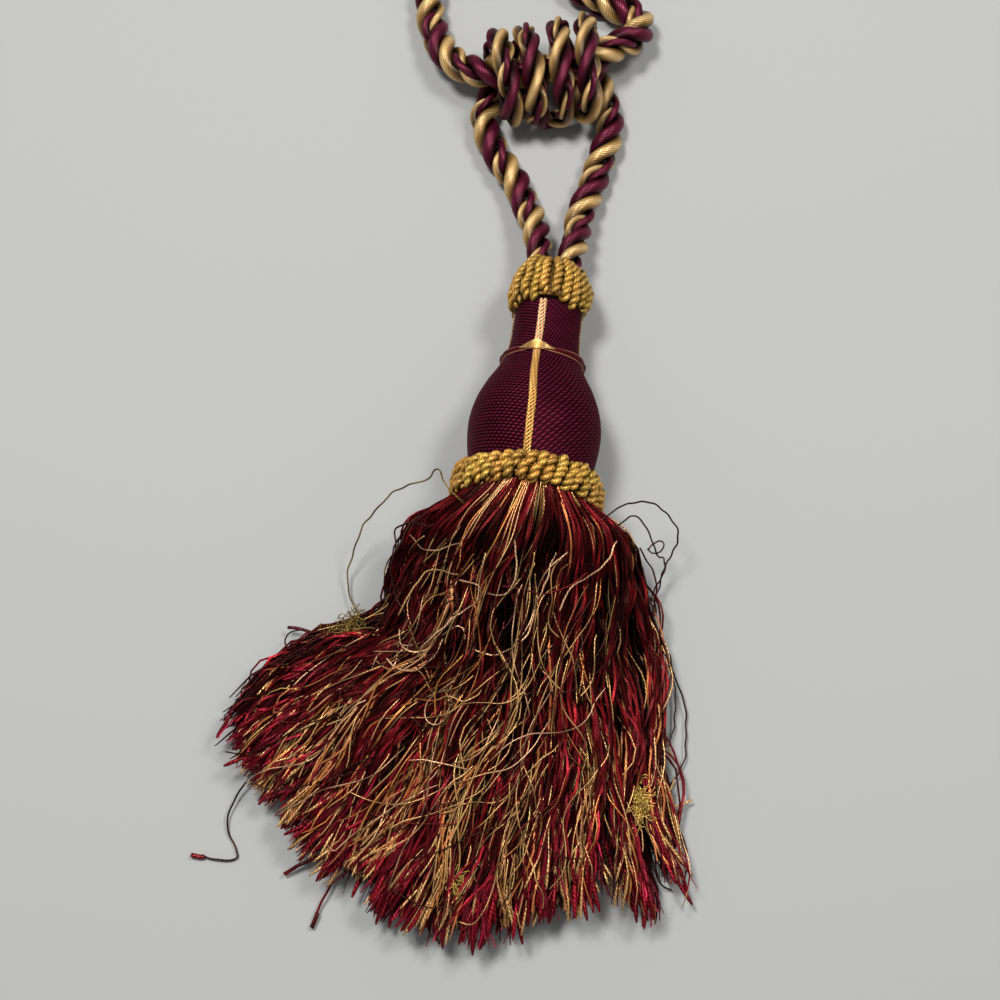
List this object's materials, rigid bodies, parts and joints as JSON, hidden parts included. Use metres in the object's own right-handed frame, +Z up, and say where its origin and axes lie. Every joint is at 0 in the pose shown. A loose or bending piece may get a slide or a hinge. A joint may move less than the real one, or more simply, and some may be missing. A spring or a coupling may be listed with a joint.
{
  "type": "curtain tieback tassel",
  "caption": "Curtain tieback tassel lying on a table: a wrapped head between two gold ruffs, a thread skirt spread out, and a laid rope hitched round the tieback's loop.",
  "frame": {"origin": "middle of the flat spot on which the lower ruff rests, on the table's surface", "axes": "+Z up from the table, +Y from the skirt towards the head and the ropes, +X to the right seen from above with +Y away from the viewer"},
  "size_m": [0.14, 0.4887, 0.0464],
  "materials": {
    "burgundy_yarn": "fine yarn wound tight, dull satin",
    "gold_cord": "satin twisted cord",
    "mixed_thread": "crinkled shiny threads, burgundy and gold together",
    "laid_rope": "satin rope laid from gold, burgundy and two-colour strands"
  },
  "bodies": {
    "root": {"head": "burgundy_yarn", "stripe_front": "gold_cord", "stripe_right": "gold_cord", "stripe_back": "gold_cord", "stripe_left": "gold_cord", "neck_tie": "gold_cord", "upper_ruff": "gold_cord", "lower_ruff": "gold_cord", "skirt": "mixed_thread", "suspension_cord": "laid_rope", "tieback_rope": "laid_rope"}
  },
  "joints": []
}
